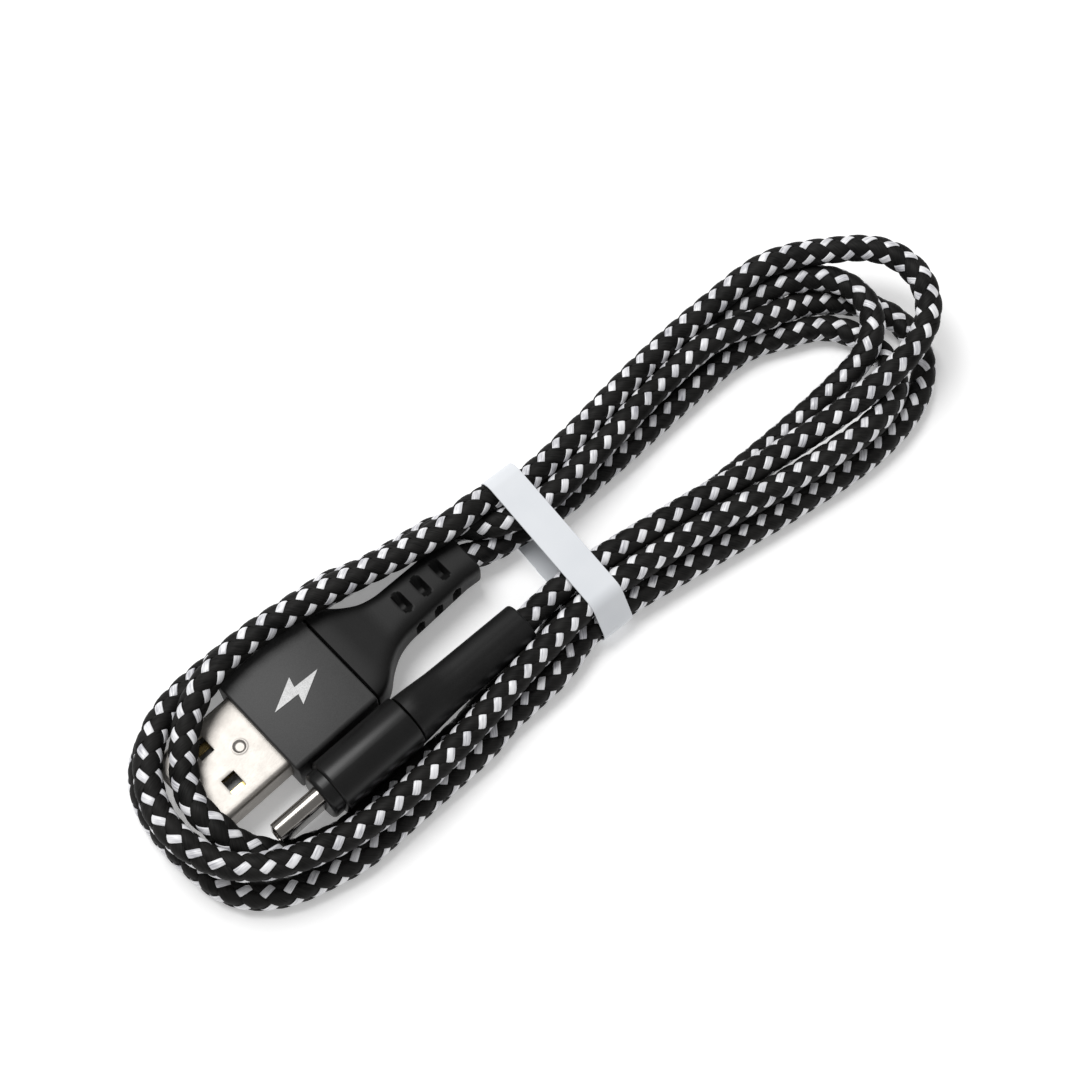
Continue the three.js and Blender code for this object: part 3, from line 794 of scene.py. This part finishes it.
def usb_a_boot():
    """A shoulder as wide as the sleeve that narrows to a slotted neck with a lip near its end."""
    b, sleeve = A_BOOT, A_SLEEVE
    start, end = b["start"], b["start"] + b["length"]
    neck = start + b["shoulder"]
    tail = b["width"] - 0.1
    across = [(start, sleeve["width"] - 0.4), (start + 1.0, sleeve["width"] - 0.6), (start + 2.6, 13.2),
              (start + 4.4, 10.0), (neck, 7.7), (neck + 2, b["width"]),
              (end - 1.8, b["lip"]), (end - 1.0, tail), (end, tail)]
    tall = [(start, sleeve["height"] - 0.4), (start + 2.0, sleeve["height"] - 0.6), (neck, 6.0),
            (neck + 2, b["height"]), (end, b["height"])]
    count = 96
    rings = [super_ring(start, 4, 3, 5, count)]
    chamfer = 0.12
    for x in [start, start + chamfer, *np.arange(start + 0.3, end - 0.35, 0.16), end - BOOT_EDGE]:
        broken = 1 - 0.05 * max(0.0, 1 - (x - start) / chamfer)
        width, height = smooth_table(across, x) * broken, smooth_table(tall, x) * broken
        power = np.interp(x, [start, neck, neck + 3], [9.0, 5.0, 4.0])
        sunk = []
        for _, y, z in super_ring(x, width, height, power, count):
            shrink = 1 - slot_depth(x, y, z, start) / math.hypot(y, z)
            sunk.append((x, y * shrink, z * shrink))
        rings.append(sunk)
    rings += boot_end(end, tail, b["height"], 4.0, count)
    points, faces = loft(rings)
    boot = make_object("usb_a_strain_relief", points, faces, BOOT_RUBBER, plug_matrix(PLUG_A), sharp=45)
    return finish_piece(boot, "boot_rubber", "usb_a_boot")


# ---------------------------------------------------------------- USB-C plug
def usb_c_shell():
    """A drawn tube with a rounded lip round its mouth."""
    s = C_SHELL
    w, h, wall = s["width"], s["height"], s["wall"]
    back = s["reach"] + s["tail"]
    rings = [stadium(back, w - 2 * wall, h - 2 * wall), stadium(0.3, w - 2 * wall, h - 2 * wall)]
    for a in np.linspace(0, math.pi, 8):
        inset = wall / 2 * (1 + math.cos(a))
        rings.append(stadium(wall / 2 * (1 - math.sin(a)), w - 2 * inset, h - 2 * inset))
    rings.append(stadium(back, w, h))
    points, faces = loft(rings, cap_start=False, cap_end=False)
    n = len(rings[0])
    last = (len(rings) - 1) * n
    faces += [(last + i, last + (i + 1) % n, (i + 1) % n, i) for i in range(n)]
    # The shell's steel is the darker copy, which holds painted shade.
    shell = make_object("usb_c_steel_shell", points, faces, STEEL_WITH_PAINTED_SHADE, plug_matrix(PLUG_C), sharp=50)
    return finish_piece(shell, "plug_steel", "usb_c_shell")


def usb_c_housing():
    """A smooth housing with a narrower nose round the shell."""
    s = C_HOUSING
    w, h = s["width"], s["height"]
    front, end = C_SHELL["reach"], C_SHELL["reach"] + s["length"]
    mouth_w, mouth_h = C_SHELL["width"] + 0.2, C_SHELL["height"] + 0.2
    rings = [stadium(front + 1.2, mouth_w, mouth_h), stadium(front, mouth_w, mouth_h)]
    for x, width, height, soft in ((front, s["nose_width"], s["nose_height"], 0.6),
                                   (front + s["nose"], w, h, 0.35)):
        rings += edge_rings(stadium, x, width, height, soft, 7)
        rings.append(stadium(x + s["nose"] - 0.05, width, height))
    rings += edge_rings(stadium, end, w, h, 0.15, 5, way=-1)
    rings.append(stadium(end, w - 1.0, h - 1.0))
    rings.append(stadium(end - 0.8, w - 1.2, h - 1.2))
    points, faces = loft(rings, cap_start=False)
    housing = make_object("usb_c_cap", points, faces, BLACK_PLASTIC, plug_matrix(PLUG_C), sharp=40)
    return finish_piece(housing, "black_plastic", "usb_c_housing")


def usb_c_boot():
    """A tapering moulding with the mould's parting line standing up along its narrow sides."""
    b = C_BOOT
    start = C_SHELL["reach"] + C_HOUSING["length"] + b["gap"]
    end = start + b["length"]
    neck = start + b["shoulder"]
    across = [(start, C_HOUSING["width"] - 0.3), (neck, b["width"]), (end, b["lip"])]
    tall = [(start, C_HOUSING["height"] - 0.5), (start + 1.6, C_HOUSING["height"] - 0.7),
            (neck, b["height"] + 0.5), (neck + 2, b["height"]), (end, b["lip"])]
    drops = [(neck, 0.0), (end, b["drop"])]
    count = 88
    rings = [super_ring(start, 2, 3, 2.4, count)]
    for x in [start, *np.arange(start + 0.15, end - 0.35, 0.3), end - BOOT_EDGE]:
        power = np.interp(x, [start, neck, end], [2.6, 2.9, 2.6])
        drop = table_at(drops, x)
        seamed = []
        for _, y, z in super_ring(x, smooth_table(across, x), smooth_table(tall, x), power, count):
            ridge = b["seam"] * math.exp(-((y / b["seam_width"]) ** 2))
            seamed.append((x, y, z + math.copysign(ridge, z) - drop))
        rings.append(seamed)
    rings += boot_end(end, b["lip"], b["lip"], 2.6, count, b["drop"])
    points, faces = loft(rings)
    boot = make_object("usb_c_strain_relief", points, faces, BOOT_RUBBER, plug_matrix(PLUG_C), sharp=45)
    return finish_piece(boot, "boot_rubber", "usb_c_boot")


# ---------------------------------------------------------------- paper band
def hull(points):
    """The convex outline of points in a plane, anticlockwise."""
    points = sorted(set(map(tuple, points)))

    def half(order):
        chain = []
        for p in order:
            while len(chain) > 1:
                (ax, ay), (bx, by) = chain[-2], chain[-1]
                if (bx - ax) * (p[1] - ay) - (by - ay) * (p[0] - ax) > 1e-9:
                    break
                chain.pop()
            chain.append(p)
        return chain[:-1]
    return half(points) + half(points[::-1])


def strands_at(x):
    """Where the cable crosses the plane at x, as (y, z)."""
    a, b = FINE[:-1], FINE[1:]
    crosses = (a[:, 0] - x) * (b[:, 0] - x) <= 0
    a, b = a[crosses], b[crosses]
    t = ((x - a[:, 0]) / (b[:, 0] - a[:, 0]))[:, None]
    return (a + t * (b - a))[:, 1:]


BAND_STATIONS = (-3.5, -1.0, 1.5)  # along X, where the paper goes round every turn
BAND_BASE = [(6.0, 0.5), (-6.0, 0.5)]  # its lowest stretch lies between these, as (y, z)
BAND_START_Y = -2.0  # on that stretch
BAND_OVERLAP = 7.0
BAND_EDGE = 0.05  # how far the paper's edges are broken


def band_line():
    """The paper's line round the bundle, from under its middle all the way round and past its start."""
    circle = np.linspace(0, 2 * math.pi, 40, endpoint=False)
    rim = (CABLE_R + 0.06) * np.stack([np.cos(circle), np.sin(circle)], axis=1)
    cloud = np.vstack([p + rim for x in BAND_STATIONS for p in strands_at(x)] + [BAND_BASE])
    outline = np.array(hull(np.round(cloud, 4).tolist()))
    closed = np.vstack([outline, outline[:1]])
    along = arc_length(closed)
    round_it = along[-1]
    underneath = np.where(closed[:, 1] < 1.0, 0, 99)
    bottom = along[np.argmin(np.abs(closed[:, 0] - BAND_START_Y) + underneath)]
    at = np.linspace(0, round_it + BAND_OVERLAP, 420)
    where = (bottom + at) % round_it
    line = np.stack([np.interp(where, along, closed[:, k]) for k in range(2)], axis=1)
    tangent = np.gradient(line, axis=0)
    tangent /= np.linalg.norm(tangent, axis=1)[:, None]
    outward = np.stack([tangent[:, 1], -tangent[:, 0]], axis=1)
    lift = (BAND_PAPER + 0.02) * smoothstep(at, round_it - 1.5, round_it + 0.4)
    return line + outward * lift[:, None], outward


def tie_band():
    line, outward = band_line()
    half, top, soft = BAND_WIDTH / 2, BAND_PAPER, BAND_EDGE
    section = [(-half + soft, 0), (half - soft, 0), (half, soft), (half, top - soft),
               (half - soft, top), (-half + soft, top), (-half, top - soft), (-half, soft)]
    rings = []
    for (y, z), (oy, oz) in zip(line, outward):
        rings.append([(BAND_X + u, y + oy * v, z + oz * v) for u, v in section])
    points, faces = loft(rings)
    band = make_object("paper_band", points, faces, PAPER, sharp=40)
    return finish_piece(band, "band_paper", "tie_band")


# ---------------------------------------------------------------- pieces kept from the frame
def dress_frame_nodes():
    looks = {
        # the tongue's material holds painted shade
        "usb_a_tongue": TONGUE_PAINTED_SHADE, "usb_a_insert": WHITE_NYLON, "usb_a_inner_mould": BLACK_PLASTIC,
        "usb_a_mark": PRINT, "usb_c_insulator": BLACK_PLASTIC, "usb_c_latch_upper": STEEL,
        "usb_c_latch_lower": STEEL, "usb_c_pcb": BOARD, "usb_c_resistor": BLACK_PLASTIC,
        "usb_c_inner_mould": BLACK_PLASTIC,
    }
    for name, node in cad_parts.items():
        material = looks.get(name)
        if "_contact_" in name:
            material = GOLD
        if "_wire_" in name:
            material = WIRES[name.rsplit("_", 1)[1]]
        if material is not None:
            node.data.materials.clear()
            node.data.materials.append(material)


# ---------------------------------------------------------------- studio, in metres and watts
FLOOR_REACH = 3.0
KEY_LIGHT = {"place": (-0.05, 0.25, 0.54), "size": 0.34, "power": 2.5}
WORLD_STRENGTH = 0.42


def make_floor():
    r = FLOOR_REACH
    corners = [(-r, -r, 0), (r, -r, 0), (r, r, 0), (-r, r, 0)]
    mesh = bpy.data.meshes.new("studio_floor")
    mesh.from_pydata(corners, [], [(0, 1, 2, 3)])
    mesh.materials.append(floor_material())
    floor = bpy.data.objects.new("studio_floor", mesh)
    bpy.context.scene.collection.objects.link(floor)


def make_key_light():
    """One large soft light from beyond the cable, so that its shadows fall towards the camera."""
    data = bpy.data.lights.new("key_light", "AREA")
    data.shape = "DISK"
    data.size = KEY_LIGHT["size"]
    data.energy = KEY_LIGHT["power"]
    lamp = bpy.data.objects.new("key_light", data)
    lamp.location = Vector(KEY_LIGHT["place"])
    lamp.rotation_euler = (-lamp.location).to_track_quat("-Z", "Y").to_euler()
    bpy.context.scene.collection.objects.link(lamp)


def make_world():
    world = bpy.data.worlds.new("studio")
    world.use_nodes = True
    background = world.node_tree.nodes["Background"]
    background.inputs["Color"].default_value = (1.0, 1.0, 1.0, 1.0)
    background.inputs["Strength"].default_value = WORLD_STRENGTH
    bpy.context.scene.world = world
    bpy.context.scene.view_settings.view_transform = "Standard"


CORE = make_cable()
usb_a_shell()
usb_a_sleeve()
usb_a_boot()
c_pieces = [usb_c_shell(), usb_c_housing(), usb_c_boot()]
tie_band()
dress_frame_nodes()
make_floor()
make_key_light()
make_world()
